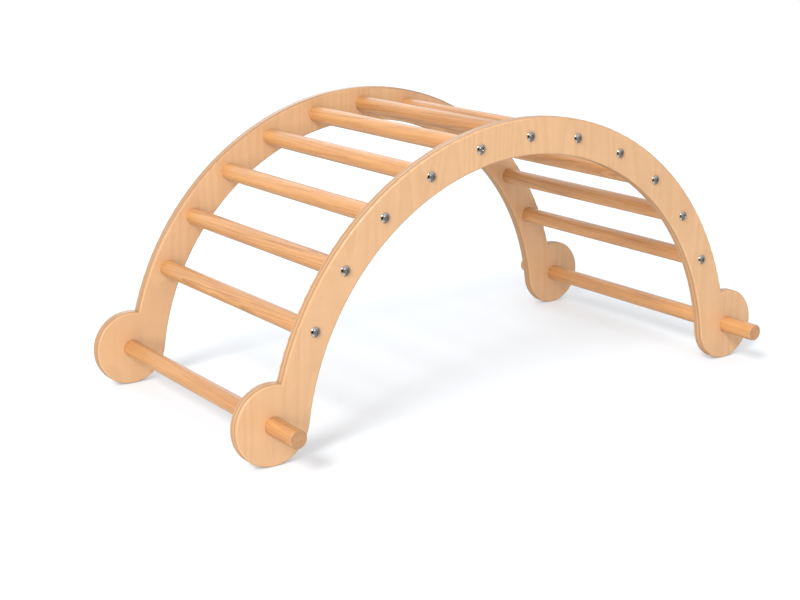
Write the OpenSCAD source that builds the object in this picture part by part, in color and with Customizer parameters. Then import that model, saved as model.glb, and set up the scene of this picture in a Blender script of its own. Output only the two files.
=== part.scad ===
// Child's rocker arch in birch plywood and beech dowel.
// Two arch-shaped sides stand on round feet. Round rungs and two long foot bars join them.
// Units are millimetres. The origin is on the floor, under the middle of the arch.
// X runs along the length, Y across the width with the near side at -Y, and Z up.

/* [Sides] */
// Radius of the arch's outer edge, centred on the floor, so also the overall height
arch_r = 460; // [420:1:520]
// Width of the arch band, from its outer edge to its inner edge
band_w = 58; // [50:1:70]
// Thickness of the plywood
side_t = 18; // [15:1:24]
// Radius of the round foot discs at the ends of the band
foot_r = 61; // [52:1:75]
// Radius of the routed edge all round the plywood
edge_round = 3; // [1.5:0.5:4]

/* [Rungs] */
// Length of a rung, which is the clear width between the sides
rung_l = 440; // [350:5:700]
// Diameter of a rung
rung_d = 28; // [25:1:34]
// Angle between neighbouring rungs, seen from the arch's centre
rung_step = 12.86; // [11:0.01:13.4]
// Chamfer on the ends of a rung
rung_chamfer = 0.8; // [0.4:0.1:1.5]

/* [Foot bars] */
// Diameter of a foot bar
bar_d = 28; // [25:1:34]
// Length of a foot bar that stands out of each side
bar_stub_l = 67; // [40:1:100]
// Radius of the eased edge on the ends of a foot bar
bar_round = 2; // [1:0.5:4]
// Width of the grooves round a foot bar that catch spare glue inside each face of a side
glue_groove_w = 2; // [1:0.5:4]
// Depth of the glue grooves
glue_groove_depth = 0.6; // [0.4:0.1:1.2]

/* [Rung bolts] */
// Diameter of the bolt's shank
bolt_d = 8; // [6:0.5:10]
// Depth that the bolt's shank reaches into the rung
bolt_reach = 27; // [24:1:36]
// Diameter of the domed head
bolt_head_d = 16; // [13:0.5:20]
// Height of the domed head
bolt_head_h = 4.6; // [4:0.1:6]
// Height of the head's straight rim under the dome
bolt_rim_h = 0.8; // [0.4:0.1:1.2]
// Width of the hexagon socket across its flats
bolt_socket_af = 5; // [4:0.5:6]
// Depth of the hexagon socket
bolt_socket_depth = 3; // [2:0.1:3.5]

/* [Threaded inserts] */
// Outer diameter of the insert in the rung's end
insert_d = 13; // [12.5:0.5:15]
// Length of the insert
insert_l = 22; // [18:1:26]
// Depth of the insert's mouth below the rung's end
insert_recess = 1; // [0.5:0.5:3]
// Width of the insert's hexagon drive across its flats
insert_hex_af = 9; // [8.5:0.5:10]
// Depth of the insert's hexagon drive
insert_hex_depth = 5; // [3:0.5:7]

/* [Foot bar screws] */
// Diameter of the screw's shank
screw_d = 4; // [3:0.5:5]
// Depth that the screw bites into the foot bar
screw_bite = 14; // [9:1:18]
// Diameter of the countersunk head
screw_head_d = 8; // [7:0.5:9]
// Width of the cross slot's arms
screw_slot_w = 1.2; // [0.8:0.1:1.6]
// Depth of the head below the rim of the foot
screw_recess = 1; // [0.5:0.5:3]

/* [Hidden] */
// Clearances, each on the radius
bolt_hole_clear = 0.5;
thread_clear = 0.05;
insert_clear = 0.05;
bar_clear = 0.15;
screw_clear = 0.1;
// Space left past the end of a bolt, an insert or a screw in its blind hole
end_clear = 1;
// How far a cutting tool runs past the face it cuts
past = 1;
// Angle by which half of a side is turned past the crown before it is cut off there
past_crown = 20;
// Number of rungs on each side of the one at the crown
rungs_each_way = 5;
rung_count = 2 * rungs_each_way + 1;

inner_r = arch_r - band_w;
mid_r = arch_r - band_w / 2;
side_y = rung_l / 2 + side_t / 2;
outer_y = rung_l / 2 + side_t;
// The foot disc rests on the floor and touches the arch's inner circle, so the inner edge
// runs smoothly from the band into the foot
foot_reach = inner_r + foot_r;
foot_angle = asin(foot_r / foot_reach);
foot_x = sqrt(foot_reach ^ 2 - foot_r ^ 2);
half_turn = 90 - foot_angle + past_crown;
bar_l = 2 * (outer_y + bar_stub_l);
bolt_l = side_t + bolt_reach;
screw_l = foot_r - bar_d / 2 + screw_bite - screw_recess;
screw_point_l = 1.5 * screw_d;
screw_cone_h = (screw_head_d - screw_d) / 2;
screw_slot_depth = 0.6 * screw_cone_h;
screw_slot_l = 0.6 * screw_head_d;

plywood_colour = [0.93, 0.77, 0.58];
rung_colour = [0.91, 0.70, 0.47];
bar_colour = [0.92, 0.68, 0.44];
steel_colour = [0.75, 0.76, 0.78];
insert_colour = [0.78, 0.72, 0.50];
screw_colour = [0.80, 0.74, 0.52];

$fn = 96;

// Angle of rung number 1 (left) to 11 (right), from +X up towards +Z
function rung_angle(number) = 90 + (rungs_each_way + 1 - number) * rung_step;
function rung_place(number) = [mid_r * cos(rung_angle(number)), 0, mid_r * sin(rung_angle(number))];

// Turns children so that their +Z points to -Y, out of the near side
module face_near() {
    rotate([90, 0, 0]) children();
}

// Moves near-side children to the near or the far side
module on_side(side) {
    if (side == "near") children();
    else mirror([0, 1, 0]) children();
}

// Outline of the board's cross-section between two radii, with both edges rounded
module board_section(from_r, to_r) {
    translate([from_r + edge_round, -side_t / 2])
        square([to_r - from_r - 2 * edge_round, side_t]);
    translate([from_r, -side_t / 2 + edge_round])
        square([to_r - from_r, side_t - 2 * edge_round]);
    for (x = [from_r + edge_round, to_r - edge_round], y = [-1, 1])
        translate([x, y * (side_t / 2 - edge_round)]) circle(r = edge_round, $fn = 32);
}

// One round foot
module foot_disc() {
    rotate_extrude() intersection() {
        board_section(-foot_r, foot_r);
        translate([0, -side_t / 2]) square([foot_r, side_t]);
    }
}

// Half of a side, from the foot at +X up to the crown, where it is cut square. The band and
// the foot are drawn along the line between their centres and turned up together. The foot
// gives way to the band's inner half, so that both end in one flat joint on that line.
module side_half() {
    difference() {
        rotate([0, 0, foot_angle]) {
            rotate_extrude(angle = half_turn, $fn = 192) board_section(inner_r, arch_r);
            difference() {
                translate([foot_reach, 0, 0]) foot_disc();
                rotate_extrude(angle = half_turn, $fn = 192)
                    translate([0, -side_t]) square([mid_r, 2 * side_t]);
            }
        }
        translate([-arch_r, arch_r / 2, 0])
            cube([2 * arch_r, 3 * arch_r, 2 * side_t], center = true);
    }
}

// Cutting tool for a screw's hole: sunk head, cone and shank, from the rim upwards
module screw_hole() {
    translate([0, 0, -past])
        cylinder(d = screw_head_d + 2 * screw_clear, h = screw_recess + past);
    translate([0, 0, screw_recess])
        cylinder(d1 = screw_head_d + 2 * screw_clear, d2 = screw_d + 2 * screw_clear,
                 h = screw_cone_h);
    translate([0, 0, screw_recess])
        cylinder(d = screw_d + 2 * screw_clear, h = screw_l + end_clear);
}

// One side, bored for the rung bolts, the foot bars and the foot bars' screws
module side_arch(side) {
    color(plywood_colour) on_side(side) translate([0, -side_y, 0]) difference() {
        face_near() for (half = [0, 1]) mirror([half, 0, 0]) side_half();
        for (number = [1 : rung_count])
            translate(rung_place(number)) face_near()
                cylinder(d = bolt_d + 2 * bolt_hole_clear, h = side_t + 2 * past, center = true);
        for (x = [-foot_x, foot_x]) translate([x, 0, 0]) {
            translate([0, 0, foot_r]) face_near()
                cylinder(d = bar_d + 2 * bar_clear, h = side_t + 2 * past, center = true);
            screw_hole();
        }
    }
}

// A rung: a dowel with chamfered ends, each bored for its insert and for the bolt's end
module rung(number) {
    color(rung_colour) translate(rung_place(number)) face_near() difference() {
        rotate_extrude() polygon([
            [0, -rung_l / 2],
            [rung_d / 2 - rung_chamfer, -rung_l / 2],
            [rung_d / 2, -rung_l / 2 + rung_chamfer],
            [rung_d / 2, rung_l / 2 - rung_chamfer],
            [rung_d / 2 - rung_chamfer, rung_l / 2],
            [0, rung_l / 2]
        ]);
        for (turn = [0, 180]) rotate([turn, 0, 0]) {
            translate([0, 0, rung_l / 2 - insert_recess - insert_l])
                cylinder(d = insert_d + 2 * insert_clear, h = insert_recess + insert_l + past);
            translate([0, 0, rung_l / 2 - bolt_reach - end_clear])
                cylinder(d = bolt_d + 2 * bolt_hole_clear, h = bolt_reach + end_clear + past);
        }
    }
}

// A foot bar: a long dowel with eased ends. It has a glue groove just inside each face of each
// side, and a blind hole for the screw in each foot.
module foot_bar(x) {
    color(bar_colour) translate([x, 0, 0]) difference() {
        translate([0, 0, foot_r]) face_near() rotate_extrude() difference() {
            union() {
                translate([0, -bar_l / 2]) square([bar_d / 2 - bar_round, bar_l]);
                translate([0, -bar_l / 2 + bar_round])
                    square([bar_d / 2, bar_l - 2 * bar_round]);
                for (y = [-1, 1])
                    translate([bar_d / 2 - bar_round, y * (bar_l / 2 - bar_round)])
                        circle(r = bar_round, $fn = 32);
            }
            for (y = [-outer_y, -rung_l / 2 - glue_groove_w, rung_l / 2, outer_y - glue_groove_w])
                translate([bar_d / 2 - glue_groove_depth, y])
                    square([glue_groove_depth + past, glue_groove_w]);
        }
        for (y = [-side_y, side_y]) translate([0, y, 0]) screw_hole();
    }
}

// A bolt with a domed head and a hexagon socket; +Z leaves the side's outer face
module bolt() {
    dome_h = bolt_head_h - bolt_rim_h;
    dome_r = ((bolt_head_d / 2) ^ 2 + dome_h ^ 2) / (2 * dome_h);
    difference() {
        union() {
            translate([0, 0, -bolt_l]) cylinder(d = bolt_d, h = bolt_l + bolt_rim_h);
            cylinder(d = bolt_head_d, h = bolt_rim_h);
            translate([0, 0, bolt_rim_h]) intersection() {
                translate([0, 0, dome_h - dome_r]) sphere(r = dome_r);
                cylinder(d = bolt_head_d, h = dome_h + past);
            }
        }
        translate([0, 0, bolt_head_h - bolt_socket_depth])
            cylinder(d = bolt_socket_af / cos(30), h = bolt_socket_depth + past, $fn = 6);
    }
}

// The bolts of one side, one for each rung
module bolts(side) {
    color(steel_colour) on_side(side) for (number = [1 : rung_count])
        translate(rung_place(number) - [0, outer_y, 0]) face_near() bolt();
}

// A threaded insert with a hexagon drive; +Z leaves the rung's end
module insert_nut() {
    translate([0, 0, -insert_l]) difference() {
        cylinder(d = insert_d, h = insert_l);
        translate([0, 0, -past])
            cylinder(d = bolt_d + 2 * thread_clear, h = insert_l + 2 * past);
        translate([0, 0, insert_l - insert_hex_depth])
            cylinder(d = insert_hex_af / cos(30), h = insert_hex_depth + past, $fn = 6);
    }
}

// The inserts in the rungs' ends at one side
module insert_nuts(side) {
    color(insert_colour) on_side(side) for (number = [1 : rung_count])
        translate(rung_place(number) - [0, rung_l / 2 - insert_recess, 0])
            face_near() insert_nut();
}

// A countersunk wood screw with a cross slot, from its head upwards to its point
module wood_screw() {
    difference() {
        union() {
            cylinder(d1 = screw_head_d, d2 = screw_d, h = screw_cone_h);
            cylinder(d = screw_d, h = screw_l - screw_point_l);
            translate([0, 0, screw_l - screw_point_l])
                cylinder(d1 = screw_d, d2 = 0, h = screw_point_l);
        }
        for (turn = [0, 90]) rotate([0, 0, turn])
            translate([0, 0, screw_slot_depth / 2 - past / 2])
                cube([screw_slot_l, screw_slot_w, screw_slot_depth + past], center = true);
    }
}

// The two screws that hold one foot bar, each driven up through a foot's rim
module bar_screws(x) {
    color(screw_colour) for (y = [-side_y, side_y])
        translate([x, y, screw_recess]) wood_screw();
}

side_arch("near");  // near_side_arch
side_arch("far");  // far_side_arch
rung(1);  // rung_01
rung(2);  // rung_02
rung(3);  // rung_03
rung(4);  // rung_04
rung(5);  // rung_05
rung(6);  // rung_06
rung(7);  // rung_07
rung(8);  // rung_08
rung(9);  // rung_09
rung(10);  // rung_10
rung(11);  // rung_11
foot_bar(-foot_x);  // left_foot_bar
foot_bar(foot_x);  // right_foot_bar
bolts("near");  // near_bolts
bolts("far");  // far_bolts
insert_nuts("near");  // near_insert_nuts
insert_nuts("far");  // far_insert_nuts
bar_screws(-foot_x);  // left_bar_screws
bar_screws(foot_x);  // right_bar_screws
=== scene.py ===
# %% [markdown]
# # A wooden rocker arch
# The object is a child's climbing arch: two plywood sides on round feet, joined by eleven rungs
# and two long foot bars. Its joinery comes as an exact CAD model in metres, with X along the
# length, Y across the width and Z up. A picture of it could be made from a new mesh, but the CAD
# pieces already have the right shape, so this lesson keeps them and gives them their finish. Only
# the bolts are made again, because light on small bright metal shows every missing curve.

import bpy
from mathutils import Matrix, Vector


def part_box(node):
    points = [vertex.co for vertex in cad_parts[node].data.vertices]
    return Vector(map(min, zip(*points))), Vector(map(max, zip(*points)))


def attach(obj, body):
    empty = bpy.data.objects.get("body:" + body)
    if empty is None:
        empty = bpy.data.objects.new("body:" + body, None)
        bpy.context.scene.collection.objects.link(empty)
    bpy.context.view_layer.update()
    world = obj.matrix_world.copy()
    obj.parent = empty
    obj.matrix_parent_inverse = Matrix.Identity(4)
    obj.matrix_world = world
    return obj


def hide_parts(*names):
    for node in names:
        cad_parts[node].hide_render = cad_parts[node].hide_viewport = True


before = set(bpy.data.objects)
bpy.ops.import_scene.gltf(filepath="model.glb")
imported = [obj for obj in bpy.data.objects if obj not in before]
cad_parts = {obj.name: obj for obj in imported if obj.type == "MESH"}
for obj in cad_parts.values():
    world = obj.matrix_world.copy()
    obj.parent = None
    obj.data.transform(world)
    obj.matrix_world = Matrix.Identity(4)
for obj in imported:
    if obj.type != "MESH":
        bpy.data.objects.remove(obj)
print("CAD nodes:", len(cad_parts))

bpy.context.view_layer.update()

# %% [markdown]
# ## The camera
# A product photograph is shaped by its camera as much as by its light: a long lens from a little
# way off keeps circles round. The camera could be placed by eye. Here its place, angle and
# lens were worked out from the rims and the bolt heads, so that the pieces fall where they do in
# the photograph, and they are written down as plain real sizes.

# %% Stand the camera at the front left
import math

import bpy

CAMERA_PLACE = (-1.4399, -1.9238, 0.7679)
CAMERA_TILT, CAMERA_ROLL, CAMERA_HEADING = 74.942, -0.211, -35.336
LENS_MM = 65.96
SENSOR_MM = 36.0

scene = bpy.context.scene
camera = bpy.data.objects.new("camera", bpy.data.cameras.new("camera"))
camera.location = CAMERA_PLACE
camera.rotation_euler = [math.radians(a) for a in (CAMERA_TILT, CAMERA_ROLL, CAMERA_HEADING)]
camera.data.lens = LENS_MM
camera.data.sensor_width = SENSOR_MM
scene.collection.objects.link(camera)
scene.camera = camera
print("Camera height:", CAMERA_PLACE[2], "m, lens:", LENS_MM, "mm")

# %% [markdown]
# ## Sizes, read from the frame
# Finishes have to line up with the pieces: layers of ply with the board's thickness, growth rings
# with a rung's axis. The numbers could be typed again, but then they would drift when the model
# changes. Each is measured on the CAD nodes instead.

# %% Measure the boards, the rungs and the bolt heads
from mathutils import Vector

RUNGS = sorted(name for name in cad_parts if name.startswith("rung_"))
BARS = ["left_foot_bar", "right_foot_bar"]


def middle(node):
    """The centre of a CAD node's box."""
    low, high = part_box(node)
    return (low + high) / 2


outer_face = -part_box("near_side_arch")[0].y
inner_face = -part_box("near_side_arch")[1].y
board_thickness = outer_face - inner_face
crown = middle(RUNGS[len(RUNGS) // 2])
head_height = -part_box("near_bolts")[0].y - outer_face
head_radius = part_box("near_bolts")[1].z - crown.z
bolt_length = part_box("near_bolts")[1].y + outer_face
print(f"Board {board_thickness * 1000:.1f} mm, bolt head {head_radius * 2000:.1f} mm across")

# %% [markdown]
# ## Formulas in a shader tree
# Wood isn't painted on: it is solid, and a saw shows one slice of it. The same is true of a
# procedural material that works from a point's place in the piece. Such a material is a formula,
# and a tree of Math nodes hides a formula well. This small class lets Python's own arithmetic add
# the nodes, so the formulas below read as formulas.

# %% Write shader formulas as arithmetic


def feed(socket, value):
    """Gives an input a number or colour, or links it to a signal."""
    if isinstance(value, Signal):
        socket.id_data.links.new(value.socket, socket)
    else:
        socket.default_value = value


class Signal:
    """One output in a shader tree. Arithmetic on it adds Math nodes."""

    def __init__(self, socket):
        self.socket = socket

    def math(self, operation, *others):
        node = self.socket.id_data.nodes.new("ShaderNodeMath")
        node.operation = operation
        for index, value in enumerate((self, *others)):
            feed(node.inputs[index], value)
        return Signal(node.outputs[0])

    def __add__(self, other):
        return self.math("ADD", other)

    def __sub__(self, other):
        return self.math("SUBTRACT", other)

    def __mul__(self, other):
        return self.math("MULTIPLY", other)

    def __truediv__(self, other):
        return self.math("DIVIDE", other)

    def __mod__(self, other):
        return self.math("MODULO", other)

    def __pow__(self, other):
        return self.math("POWER", other)

    def __abs__(self):
        return self.math("ABSOLUTE")


print("A signal can be added to, subtracted from, multiplied, divided and raised to a power")

# %% Add the pattern nodes that wood needs


def ramp(signal, low, high, start=0.0, end=1.0):
    """Runs smoothly from start to end while the signal goes from low to high."""
    node = signal.socket.id_data.nodes.new("ShaderNodeMapRange")
    node.interpolation_type = "SMOOTHSTEP"
    for name, value in (("Value", signal), ("From Min", low), ("From Max", high),
                        ("To Min", start), ("To Max", end)):
        feed(node.inputs[name], value)
    return Signal(node.outputs["Result"])


def noise(x, y, z, detail=2.0, roughness=0.5):
    """Smooth random values near 0.5, where each coordinate is already scaled."""
    nodes = x.socket.id_data.nodes
    place = nodes.new("ShaderNodeCombineXYZ")
    for index, value in enumerate((x, y, z)):
        feed(place.inputs[index], value)
    node = nodes.new("ShaderNodeTexNoise")
    feed(node.inputs["Vector"], Signal(place.outputs[0]))
    feed(node.inputs["Scale"], 1.0)
    feed(node.inputs["Detail"], detail)
    feed(node.inputs["Roughness"], roughness)
    return Signal(node.outputs["Fac"])


def chance(signal):
    """One even random number from 0 to 1 for each whole value of the signal."""
    node = signal.socket.id_data.nodes.new("ShaderNodeTexWhiteNoise")
    node.noise_dimensions = "1D"
    feed(node.inputs["W"], signal)
    return Signal(node.outputs["Value"])


print("Patterns:", ramp.__name__, noise.__name__, chance.__name__)

# %% [markdown]
# ## From a pattern to a surface
# A pattern is only a number. It turns into wood when it mixes two colours and lifts the surface
# a little. It could be tied to a flat map that is wrapped round the piece, but every map has a
# seam. Here it is tied to the piece's own coordinates, so it stays in the wood from every side.

# %% Add the nodes that mix and place


def blend(share, first, second, kind="RGBA"):
    """A colour that runs from first to second while the share goes from 0 to 1."""
    node = share.socket.id_data.nodes.new("ShaderNodeMix")
    node.data_type = kind
    feed(node.inputs["Factor"], share)
    feed(node.inputs["A"], first)
    feed(node.inputs["B"], second)
    return Signal(node.outputs["Result"])


def between(share, first, second):
    """A number that runs from first to second while the share goes from 0 to 1."""
    return blend(share, first, second, "FLOAT")


def point(tree):
    """The place of a point in the piece, in metres, and the surface's direction there."""
    node = tree.nodes.new("ShaderNodeTexCoord")
    found = []
    for output in ("Object", "Normal"):
        split = tree.nodes.new("ShaderNodeSeparateXYZ")
        tree.links.new(node.outputs[output], split.inputs[0])
        found += [Signal(part) for part in split.outputs]
    return found


def bump(height, depth):
    """A surface direction that follows a height from 0 to 1, which stands for a depth in metres."""
    node = height.socket.id_data.nodes.new("ShaderNodeBump")
    feed(node.inputs["Height"], height)
    node.inputs["Distance"].default_value = depth
    return Signal(node.outputs["Normal"])


print("Mixing:", blend.__name__, between.__name__, "and placing:", point.__name__, bump.__name__)

# %% [markdown]
# ## The light table
# The arch stands on a white table under soft light. A plain white floor with strong light makes
# deep shadows, while the photograph has only pale ones. So the floor is a light table: it glows
# a little by itself, as milky acrylic over a lamp does, and the glow fills the shadows. Wood
# throws warm light on it, so the acrylic is a little blue, and the shadows come out grey. It is
# hidden from mirror rays, because a glow without an end would make every bolt white, and from
# below it is clear as glass, so that the underside of the arch can be looked at too.

# %% Lay the table
TABLE_SIZE = 60.0

half = TABLE_SIZE / 2
corners = [(-half, -half, 0), (half, -half, 0), (half, half, 0), (-half, half, 0)]
table_mesh = bpy.data.meshes.new("light_table")
table_mesh.from_pydata(corners, [], [(0, 1, 2, 3)])
table = bpy.data.objects.new("light_table", table_mesh)
table.visible_glossy = False
scene.collection.objects.link(table)
print("Light table:", TABLE_SIZE, "m wide")

# %% Make it of milky acrylic
TABLE_ALBEDO = (0.592, 0.63, 0.667, 1)
TABLE_GLOW = 0.28
TABLE_ROUGHNESS = 0.9


def new_material(name):
    """A material with its node tree and its Principled shader."""
    material = bpy.data.materials.new(name)
    material.use_nodes = True
    shader = material.node_tree.nodes["Principled BSDF"]
    return material, material.node_tree, shader


acrylic, tree, shader = new_material("milky_acrylic")
shader.inputs["Base Color"].default_value = TABLE_ALBEDO
shader.inputs["Roughness"].default_value = TABLE_ROUGHNESS
shader.inputs["Specular IOR Level"].default_value = 0.0
shader.inputs["Emission Color"].default_value = (1, 1, 1, 1)
shader.inputs["Emission Strength"].default_value = TABLE_GLOW
clear = tree.nodes.new("ShaderNodeBsdfTransparent")
side = tree.nodes.new("ShaderNodeNewGeometry")
either = tree.nodes.new("ShaderNodeMixShader")
tree.links.new(side.outputs["Backfacing"], either.inputs["Fac"])
tree.links.new(shader.outputs["BSDF"], either.inputs[1])
tree.links.new(clear.outputs["BSDF"], either.inputs[2])
tree.links.new(either.outputs["Shader"], tree.nodes["Material Output"].inputs["Surface"])
table_mesh.materials.append(acrylic)
print("Acrylic glow:", TABLE_GLOW)

# %% [markdown]
# ## Light from the upper left
# The shadows of the foot bars' ends fall to the right and a little back, so the main light stands
# at the upper left. A bare lamp would draw hard lines, and a softbox close by would leave the far
# end dark. A broad lamp a long way off does neither: in Blender that is a sun, with an angle as
# wide as the lamp looks. Three panels help it. The one at the left lifts the near faces, the one
# in front puts a spark on each bolt, and the one behind draws the pale line along every rung. The
# left one is hidden from mirror rays, or each bolt would show it as a big white square. Each has
# a direction from the arch, a distance and a size in metres, and a power in watts.

# %% Hang the key lamp
KEY_TOWARDS = Vector((-0.70, -0.34, 0.66))
KEY_IRRADIANCE = 2.3
KEY_WIDTH = math.radians(20)
KEY_DISTANCE = 5.0


def hang(name, kind, towards, distance):
    """A light that looks at the arch from a direction."""
    light = bpy.data.lights.new(name, kind)
    lamp = bpy.data.objects.new(name, light)
    lamp.location = towards.normalized() * distance
    lamp.rotation_euler = towards.to_track_quat("Z", "Y").to_euler()
    lamp.visible_camera = False
    scene.collection.objects.link(lamp)
    return lamp


key = hang("key_lamp", "SUN", KEY_TOWARDS, KEY_DISTANCE)
key.data.energy = KEY_IRRADIANCE
key.data.angle = KEY_WIDTH
print("Key lamp:", math.degrees(KEY_WIDTH), "degrees wide")

# %% Hang the three panels
PANELS = {
    "left_panel": (Vector((-0.86, -0.48, 0.14)), 4.5, 1.65, 84),
    "front_panel": (Vector((-0.13, -0.90, 0.43)), 3.2, 0.8, 3),
    "rear_panel": (Vector((0.24, 0.85, 0.44)), 3.0, 1.6, 9),
}
for name, (towards, distance, size, watts) in PANELS.items():
    panel = hang(name, "AREA", towards, distance)
    panel.data.size = size
    panel.data.energy = watts
bpy.data.objects["left_panel"].visible_glossy = False
print("Panels:", ", ".join(PANELS))

# %% [markdown]
# ## The room
# Polished metal shows the room it is in. An even white room turns a chrome head into a grey
# disc. A real studio is bright overhead and behind the object, grey at the sides, and dark where
# the camera stands. Its floor is bright in front of the arch, and runs on behind it as a white
# sweep that fades away from the lamps, warm from the wood above it. Ramps on the direction of a
# ray paint all of that, and every bolt then gets its dark spot and its bright edges. The eye
# itself sees plain white beyond the table from every side, as before a paper backdrop. Each pair
# of numbers that is named as a change or an edge says where the change starts and where it ends.

# %% Choose how bright each side of the room is
CEILING, WALL, BACKDROP, FLOOR, CAMERA_CORNER = 0.80, 0.34, 1.00, 1.05, 0.02
SWEEP_NEAR, SWEEP_FAR = 0.95, 0.38
WHITE, SWEEP_TINT = (1.0, 1.0, 1.0, 1), (1.0, 0.68, 0.42, 1)
TINT_NEAR = 0.55
WALL_TO_CEILING = (0.15, 0.75)
SIDE_TO_BACK = (0.05, 0.6)
SWEEP_TO_BACKDROP = (-0.10, 0.12)
NEAR_TO_FAR = (0.12, 0.38)
FLOOR_EDGE, CORNER_EDGE = (0.80, 0.93), (0.90, 0.97)
FLOOR_TOWARDS = Vector((-0.30, -0.32, -0.90)).normalized()
CORNER_TOWARDS = Vector((-0.66, -0.74, -0.02)).normalized()
print("Room: walls", WALL, "ceiling", CEILING, "backdrop", BACKDROP)

# %% Find the direction that a ray looks in
world = bpy.data.worlds.new("studio")
scene.world = world
world.use_nodes = True
direction = world.node_tree.nodes.new("ShaderNodeTexCoord")
split = world.node_tree.nodes.new("ShaderNodeSeparateXYZ")
world.node_tree.links.new(direction.outputs["Generated"], split.inputs[0])
east, north, up = [Signal(part) for part in split.outputs]


def near_direction(towards, edge):
    """One close to a direction, and none far from it. The edge's two limits are cosines."""
    closeness = east * towards.x + north * towards.y + up * towards.z
    return ramp(closeness, *edge)


print("World:", world.name)

# %% Paint the room
room = ramp(up, *WALL_TO_CEILING, WALL, CEILING)
sweep = ramp(east, *NEAR_TO_FAR, SWEEP_NEAR, SWEEP_FAR)
behind = ramp(north, *SIDE_TO_BACK)
room = between(behind, room, ramp(up, *SWEEP_TO_BACKDROP, sweep, BACKDROP))
room = between(near_direction(FLOOR_TOWARDS, FLOOR_EDGE), room, FLOOR)
room = between(near_direction(CORNER_TOWARDS, CORNER_EDGE), room, CAMERA_CORNER)
to_the_eye = Signal(world.node_tree.nodes.new("ShaderNodeLightPath").outputs["Is Camera Ray"])
room = between(to_the_eye, room, BACKDROP)
low_down = ramp(up, *SWEEP_TO_BACKDROP, 1.0, 0.0)
warmth = behind * low_down * ramp(east, 0.0, NEAR_TO_FAR[1], TINT_NEAR, 1.0)
warmth = between(to_the_eye, warmth, 0.0)
background = world.node_tree.nodes["Background"]
feed(background.inputs["Strength"], room)
feed(background.inputs["Color"], blend(warmth, WHITE, SWEEP_TINT))
scene.view_settings.view_transform = "Standard"
print("Room painted with", len(world.node_tree.nodes), "nodes")

# %% [markdown]
# ## Clear varnish
# Both woods have the same satin varnish: a thin clear coat over wood that is itself nearly matt.
# It sinks into the grain, so a little relief, a tenth of a millimetre deep, stays on top.
# One Principled shader does it, with its coat for the varnish. The numbers that are the same all
# over the piece are set on the shader's own inputs.

# %% Mix the varnish
COAT = {"Specular IOR Level": 0.2, "Coat Weight": 0.9, "Coat Roughness": 0.34, "Coat IOR": 1.45}
GRAIN_DEPTH = 0.00012
FIBRE_ROUGHNESS = 0.14
BOARD_ROUGHNESS, BOARD_END_ROUGHNESS = 0.36, 0.12
DOWEL_ROUGHNESS, DOWEL_END_ROUGHNESS = 0.34, 0.2


def varnish(shader, colour, roughness, normal):
    """Finishes a Principled shader as varnished wood."""
    for name, value in COAT.items():
        shader.inputs[name].default_value = value
    feed(shader.inputs["Base Color"], colour)
    feed(shader.inputs["Roughness"], roughness)
    feed(shader.inputs["Normal"], normal)


print("Varnish:", COAT)

# %% [markdown]
# ## Birch plywood
# A side is glued from thin plies whose grain runs upright and lengthwise by turns. Its face shows
# one ply: pale birch, peeled from the log like paper from a roll, with soft flame lines. Its rim
# shows them all as stripes, browner than the face, because cut fibres drink the varnish and a saw
# scorches them. A picture of a face and a picture of a rim would meet badly at the rounded edge,
# so the formula finds the ply from the depth below the face. The face, the rim and the rounding
# then agree by themselves. Each board has a seed of its own, as each comes from another sheet.
#
# In the patterns below, the number that a coordinate is multiplied by says how often the pattern
# changes in a metre. Fibres need over a thousand across the grain, and a few dozen along it.

# %% Find the ply and its grain
PLIES = 13
BIRCH_PALE = (0.757, 0.450, 0.236, 1)
BIRCH_TAN = (0.43, 0.205, 0.090, 1)
CORE_BROWN = (0.290, 0.141, 0.050, 1)
SKIN = 0.00005
PLY_SHIFT = 7.31
ply_thickness = board_thickness / PLIES


def find_ply(x, y, z, seed):
    """The ply's number, its place in the ply from 0 to 1, and the grain's own coordinates."""
    depth = (abs(y) - inner_face).math("MAXIMUM", SKIN).math("MINIMUM", board_thickness - SKIN)
    layer = depth / ply_thickness
    ply = layer.math("FLOOR")
    lengthwise = ply % 2
    along = between(lengthwise, z, x)
    across = between(lengthwise, x, z)
    return ply, layer.math("FRACT"), lengthwise, along, across, ply * PLY_SHIFT + seed


print(f"{PLIES} plies of {ply_thickness * 1000:.2f} mm")

# %% Draw the birch's figure
FLAMES, SHIMMER, CLOUDS, STREAKS, FIBRES, PORES = 0.115, 0.13, 0.22, 0.19, 0.12, 0.14
PEELED_RINGS = 15
WAVER = 0.006


def birch_figure(along, across, slot):
    """How dark the wood is, from 0 to 1, for its flame lines, its shimmer and its fibres."""
    wander = noise(across * 22, along * 7, slot + 3.0) * WAVER
    field = noise((across + wander) * 10, along * 1.3, slot, detail=1.0)
    ring = (field * PEELED_RINGS).math("FRACT")
    flame = ramp(ring, 0.25, 0.93) * ramp(ring, 0.94, 1.0, 1.0, 0.0)
    shimmer = noise(across * 34, along * 70, slot + 11.0, detail=3.0)
    cloud = noise(across * 6, along * 4, slot + 17.0)
    streak = noise(across * 260, along * 5, slot + 14.0, detail=3.0)
    fibre = noise(across * 1500, along * 42, slot + 5.0, detail=3.0)
    pore = ramp(noise(across * 900, along * 95, slot + 8.0, detail=1.0), 0.66, 0.74)
    dark = flame * FLAMES + (shimmer - 0.5) * SHIMMER + (cloud - 0.5) * CLOUDS
    dark = dark + (streak - 0.5) * STREAKS
    return dark + (fibre - 0.5) * FIBRES + pore * PORES, fibre, pore


print(f"Figure: flames darken by {FLAMES}, clouds by {CLOUDS}, streaks by {STREAKS}")

# %% Glue up the plywood
MEAN_DARK = 0.10
END_GRAIN_STAIN, GLUE_STAIN = 0.08, 0.10
PLY_STAIN_LEAST, PLY_STAIN_RANGE = 0.08, 0.48


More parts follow.
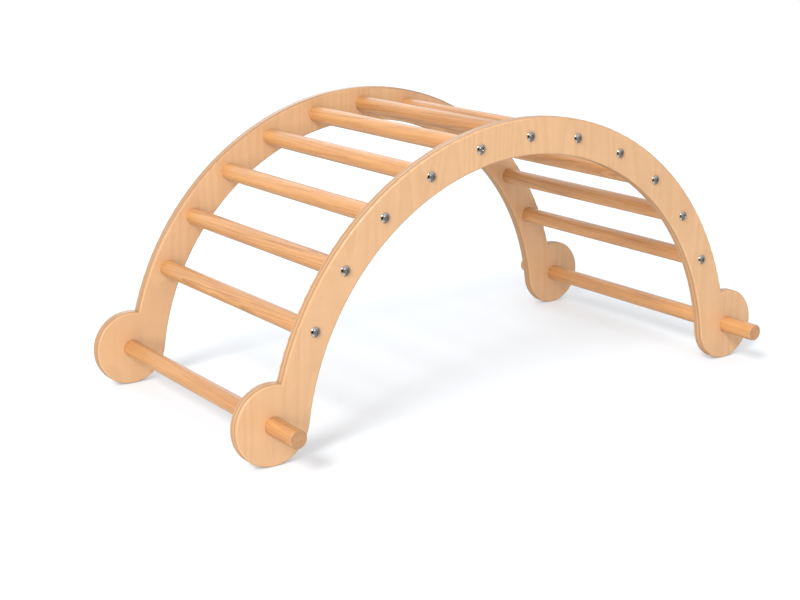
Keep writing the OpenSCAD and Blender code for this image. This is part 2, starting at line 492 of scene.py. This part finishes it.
def plywood(name, seed, rim_stain):
    """Varnished birch plywood whose face grain stands upright."""
    material, tree, shader = new_material(name)
    x, y, z, normal_x, _, normal_z = point(tree)
    ply, place, lengthwise, along, across, slot = find_ply(x, y, z, seed)
    dark, fibre, pore = birch_figure(along, across, slot)
    end_grain = between(lengthwise, abs(normal_z), abs(normal_x)) ** 1.5
    rim = ramp(normal_x * normal_x + normal_z * normal_z, 0.1, 0.5)
    core = ramp(abs(ply - (PLIES - 1) / 2), (PLIES - 1) / 2, PLIES / 2 - 1)
    glue = ramp(abs(place - 0.5), 0.44, 0.5)
    dull = core * (chance(slot) * PLY_STAIN_RANGE + PLY_STAIN_LEAST)
    dull = dull + end_grain * END_GRAIN_STAIN + glue * GLUE_STAIN + rim_stain
    stain = (dark + MEAN_DARK).math("MINIMUM", 1.0).math("MAXIMUM", 0.0)
    colour = blend(rim * dull, blend(stain, BIRCH_PALE, BIRCH_TAN), CORE_BROWN)
    roughness = fibre * FIBRE_ROUGHNESS + BOARD_ROUGHNESS + end_grain * BOARD_END_ROUGHNESS
    height = fibre * 0.5 - pore * 0.6 - rim * glue * 0.8
    varnish(shader, colour, roughness, bump(height, GRAIN_DEPTH))
    return material


BOARDS = {"near_side_arch": (1422.5, 0.28), "far_side_arch": (2806.0, 0.37)}
for node, (seed, rim_stain) in BOARDS.items():
    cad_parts[node].material_slots[0].material = plywood(f"{node}_plywood", seed, rim_stain)
print("Plywood on:", ", ".join(BOARDS))

# %% [markdown]
# ## Turned dowels
# A dowel is turned from a plank, so the heart of the tree lies outside it, and its growth rings
# pass through it as almost flat sheets. Where the sheets lean a little against the dowel's axis
# they come out at the surface as long flames, and at its end as gentle arcs. A wood picture
# wrapped round it would have a seam and no end grain. Distance from a leaning heart line gives
# flames and arcs in one formula, and random numbers give every dowel another plank. No two years
# of a tree are alike, so the rings differ in width and in how dark their late wood is.

# %% Grow the rings of one dowel
import random

RING_WIDTH = 0.0031
RING_UNEVENNESS = 3.0
HEART_NEAR, HEART_FAR = 0.035, 0.09
LEAN_LEAST, LEAN_MOST, SWAY_MOST = 0.012, 0.035, 0.02
FACTORY_SEED = 23693


def growth_rings(x, y, z, centre, chooser):
    """The wood's age in years at a point of one dowel, and the point as the tree sees it."""
    turn = chooser.uniform(0, math.tau)
    heart = chooser.uniform(HEART_NEAR, HEART_FAR)
    lean = chooser.uniform(LEAN_LEAST, LEAN_MOST) * chooser.choice((-1, 1))
    sway = chooser.uniform(-SWAY_MOST, SWAY_MOST)
    side, rise = x - centre.x, z - centre.z
    outward = side * math.cos(turn) + rise * math.sin(turn) + y * lean + heart
    sideways = rise * math.cos(turn) - side * math.sin(turn) + y * sway
    wander = noise(outward * 45, y * 5, sideways * 45, detail=2.0) * WAVER
    radius = (outward * outward + sideways * sideways) ** 0.5 + wander
    uneven = noise(radius * 130, chooser.uniform(0, 9), 0.0, detail=1.0) * RING_UNEVENNESS
    return radius / RING_WIDTH + uneven, outward, sideways


print(f"Rings {RING_WIDTH * 1000:.1f} mm apart")

# %% Choose the dowels' colours
DOWEL_PALE = (0.565, 0.280, 0.104, 1)
DOWEL_TAN = (0.275, 0.104, 0.031, 1)
END_PALE = (0.540, 0.287, 0.135, 1)
END_TAN = (0.370, 0.174, 0.073, 1)
LATE_WOOD, CLOUDINESS, STREAKINESS, FIBRE_SHADE, FLECKS = 0.5, 0.4, 1.0, 0.2, 0.15
DRYNESS_LEAST, DRYNESS_RANGE = 0.2, 0.8
MEAN_STAIN, TONE_SPREAD = 0.11, 0.10
print("Late wood darkens by", LATE_WOOD, "streaks by", STREAKINESS)

# %% Turn one dowel


def dowel(name, centre, chooser, tone):
    """Varnished dowel wood with its grain along Y."""
    material, tree, shader = new_material(name)
    x, y, z, _, normal_y, _ = point(tree)
    age, outward, sideways = growth_rings(x, y, z, centre, chooser)
    season = age.math("FRACT")
    late = ramp(season, 0.15, 0.9) * ramp(season, 0.93, 1.0, 1.0, 0.0)
    dryness = chance(age.math("FLOOR")) * DRYNESS_RANGE + DRYNESS_LEAST
    cloud = noise(outward * 55, y * 9, sideways * 55, detail=2.0)
    streak = noise(outward * 170, y * 8, sideways * 170, detail=4.0, roughness=0.6)
    fibre = noise(outward * 2200, y * 45, sideways * 2200, detail=3.0)
    fleck = ramp(noise(outward * 700, y * 110, sideways * 700, detail=0.0), 0.66, 0.76)
    end_grain = normal_y ** 2.0
    stain = late * dryness * LATE_WOOD + (cloud - 0.5) * CLOUDINESS
    stain = stain + (streak - 0.5) * STREAKINESS + (fibre - 0.5) * FIBRE_SHADE
    stain = stain + fleck * FLECKS + (MEAN_STAIN + tone)
    stain = stain.math("MINIMUM", 1.0).math("MAXIMUM", 0.0)
    side_colour = blend(stain, DOWEL_PALE, DOWEL_TAN)
    colour = blend(end_grain, side_colour, blend(stain, END_PALE, END_TAN))
    roughness = fibre * FIBRE_ROUGHNESS + DOWEL_ROUGHNESS + end_grain * DOWEL_END_ROUGHNESS
    height = fibre * 0.5 - fleck * 0.6 + streak * 0.6
    varnish(shader, colour, roughness, bump(height, GRAIN_DEPTH))
    return material


print("Dowel grain:", GRAIN_DEPTH * 1000, "mm deep")

# %% Give every rung and bar its own plank
for number, node in enumerate(RUNGS + BARS):
    chooser = random.Random(FACTORY_SEED + number)
    tone = chooser.uniform(-TONE_SPREAD, TONE_SPREAD)
    wood = dowel(f"{node}_wood", middle(node), chooser, tone)
    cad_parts[node].material_slots[0].material = wood
print("Dowels:", len(RUNGS), "rungs and", len(BARS), "foot bars")

# %% [markdown]
# ## Bright bolts
# Each rung is held by a dome-headed machine bolt with a hexagon socket. The CAD bolt has sharp
# edges. Real heads are forged and tumbled: their rim and the mouth of their socket are rounded,
# and those small roundings catch the light. A bevel modifier could round them, but it struggles
# where a hexagon cuts a dome. The head is built as a stack of rings instead, from the tip of the
# shank round to the floor of the socket, where the hexagon is a ring whose radius changes. A
# spanner stops each bolt where it is tight, so every head is turned to another angle.

# %% Shape one bolt from rings
RING_POINTS = 72
SHANK_RADIUS = 0.0039
SOCKET_ACROSS_FLATS = 0.005
SOCKET_DEPTH = 0.003
RIM_HEIGHT = 0.0008
RIM_ROUND = 0.0004
POINT_RADIUS = 0.0001


def round_ring(radius, height):
    """A circle of points."""
    angles = [math.tau * i / RING_POINTS for i in range(RING_POINTS)]
    return [(radius * math.cos(a), radius * math.sin(a), height) for a in angles]


def hexagon_ring(across_flats, height):
    """A hexagon with as many points as a circle, so that one joins the other with plain quads."""
    ring = []
    for x, y, _ in round_ring(1.0, height):
        flat = math.radians(60) * round(math.atan2(y, x) / math.radians(60))
        reach = across_flats / 2 / math.cos(math.atan2(y, x) - flat)
        ring.append((reach * x, reach * y, height))
    return ring


print("Ring points:", RING_POINTS)

# %% Round the head and sink its socket
DOME_STEPS = 14
UNDERSIDE_ROUND, UNDERSIDE_RISE = 0.0003, 0.00025
MOUTH_SHARE, FLARE_SHARE, DRILLED_SHARE = 0.66, 1.06, 0.3
FLARE_DROP, FLARE_DEPTH = 0.00012, 0.0004
FLOOR_DROP, DRILL_POINT = 0.0002, 0.0009


def head_rings():
    """Rings from the underside of the head over its dome to the floor of the socket."""
    rise = head_height - RIM_HEIGHT
    dome_radius = (head_radius ** 2 + rise ** 2) / (2 * rise)
    mouth = SOCKET_ACROSS_FLATS * MOUTH_SHARE
    rings = [round_ring(head_radius - UNDERSIDE_ROUND, 0)]
    rings.append(round_ring(head_radius, UNDERSIDE_RISE))
    rings.append(round_ring(head_radius, RIM_HEIGHT - RIM_ROUND / 2))
    start = math.asin((head_radius - RIM_ROUND / 2) / dome_radius)
    end = math.asin(mouth / dome_radius)
    for step in range(DOME_STEPS + 1):
        angle = start + (end - start) * step / DOME_STEPS
        height = head_height - dome_radius * (1 - math.cos(angle))
        rings.append(round_ring(dome_radius * math.sin(angle), height))
    top = rings[-1][0][2]
    bottom = head_height - SOCKET_DEPTH
    rings.append(hexagon_ring(SOCKET_ACROSS_FLATS * FLARE_SHARE, top - FLARE_DROP))
    rings.append(hexagon_ring(SOCKET_ACROSS_FLATS, top - FLARE_DEPTH))
    rings.append(hexagon_ring(SOCKET_ACROSS_FLATS, bottom))
    rings.append(round_ring(SOCKET_ACROSS_FLATS * DRILLED_SHARE, bottom - FLOOR_DROP))
    rings.append(round_ring(POINT_RADIUS, bottom - DRILL_POINT))
    return rings


print("Head:", len(head_rings()), "rings")

# %% Add the shank
TIP_CHAMFER = 0.0008
NECK_GAP = 0.0001


def bolt_rings():
    """The whole bolt: its shank's tip and shank, then its head."""
    tip = [(POINT_RADIUS, -bolt_length), (SHANK_RADIUS - TIP_CHAMFER, -bolt_length)]
    shank = [(SHANK_RADIUS, TIP_CHAMFER - bolt_length), (SHANK_RADIUS, -NECK_GAP)]
    return [round_ring(*ring) for ring in tip + shank] + head_rings()


rings = bolt_rings()
print("One bolt:", len(rings), "rings")

# %% Join the rings into one closed skin


def bolt_faces(first):
    """Quads between neighbouring rings and a cap at each end, from the bolt's first point on."""
    last = first + (len(rings) - 1) * RING_POINTS
    faces = []
    for low in range(first, last, RING_POINTS):
        high = low + RING_POINTS
        for i in range(RING_POINTS):
            j = (i + 1) % RING_POINTS
            faces.append((low + i, low + j, high + j, high + i))
    faces.append([first + i for i in reversed(range(RING_POINTS))])
    faces.append([last + i for i in range(RING_POINTS)])
    return faces


print("One bolt:", len(bolt_faces(0)), "faces")

# %% Screw in a bolt at every rung
from mathutils import Matrix

SMOOTH_BELOW = math.radians(38)
NEXT_TURN = 37


def bolt_set(name, node, side):
    """Eleven bolts as one piece, whose heads look out of the near side (-1) or the far side (1)."""
    points, faces = [], []
    for number, rung in enumerate(RUNGS):
        centre = middle(rung)
        turn = Matrix.Rotation(math.radians(NEXT_TURN * number), 4, "Z")
        stand = Matrix.Rotation(math.radians(-90 * side), 4, "X")
        place = Matrix.Translation((centre.x, side * outer_face, centre.z)) @ stand @ turn
        faces += bolt_faces(len(points))
        points += [place @ Vector(spot) for ring in rings for spot in ring]
    mesh = bpy.data.meshes.new(name)
    mesh.from_pydata(points, [], faces)
    mesh.shade_smooth()
    mesh.set_sharp_from_angle(angle=SMOOTH_BELOW)
    piece = bpy.data.objects.new(name, mesh)
    scene.collection.objects.link(piece)
    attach(piece, "root")
    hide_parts(node)
    return piece


bolts = [bolt_set("near_bolt_set", "near_bolts", -1), bolt_set("far_bolt_set", "far_bolts", 1)]
print("Bolts:", len(bolts) * len(RUNGS))

# %% [markdown]
# ## Plated steel
# Nickel on the bolts is smooth but not a mirror: it carries a haze of fine scratches, and dull
# patches where fingers touched it. Zinc on the screws and inserts is duller and slightly yellow.
# One even metal would look like plastic on both. So one metal shader serves them, and noise moves
# its colour and its roughness between a bright and a dull value.

# %% Plate the fasteners
SCRATCH_DEPTH = 0.00001


def plated(name, bright, dull, smooth, rough):
    """Metal whose colour and roughness wander between two values."""
    material, tree, shader = new_material(name)
    x, y, z, *_ = point(tree)
    patch = noise(x * 300, y * 300, z * 300, detail=3.0)
    scratch = noise(x * 2500, y * 2500, z * 2500, detail=2.0)
    shader.inputs["Metallic"].default_value = 1.0
    feed(shader.inputs["Base Color"], blend(ramp(patch, 0.35, 0.65), bright, dull))
    feed(shader.inputs["Roughness"], ramp(patch * 0.6 + scratch * 0.4, 0.35, 0.65, smooth, rough))
    feed(shader.inputs["Normal"], bump(scratch, SCRATCH_DEPTH))
    return material


nickel = plated("bright_nickel", (0.66, 0.63, 0.60, 1), (0.50, 0.47, 0.44, 1), 0.08, 0.18)
zinc = plated("yellow_zinc", (0.78, 0.70, 0.50, 1), (0.66, 0.56, 0.36, 1), 0.28, 0.45)
for piece in bolts:
    piece.data.materials.append(nickel)
for node in ("near_insert_nuts", "far_insert_nuts", "left_bar_screws", "right_bar_screws"):
    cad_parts[node].material_slots[0].material = zinc
for node in ("near_bolts", "far_bolts"):
    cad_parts[node].material_slots[0].material = nickel
print("Plated:", nickel.name, "and", zinc.name)
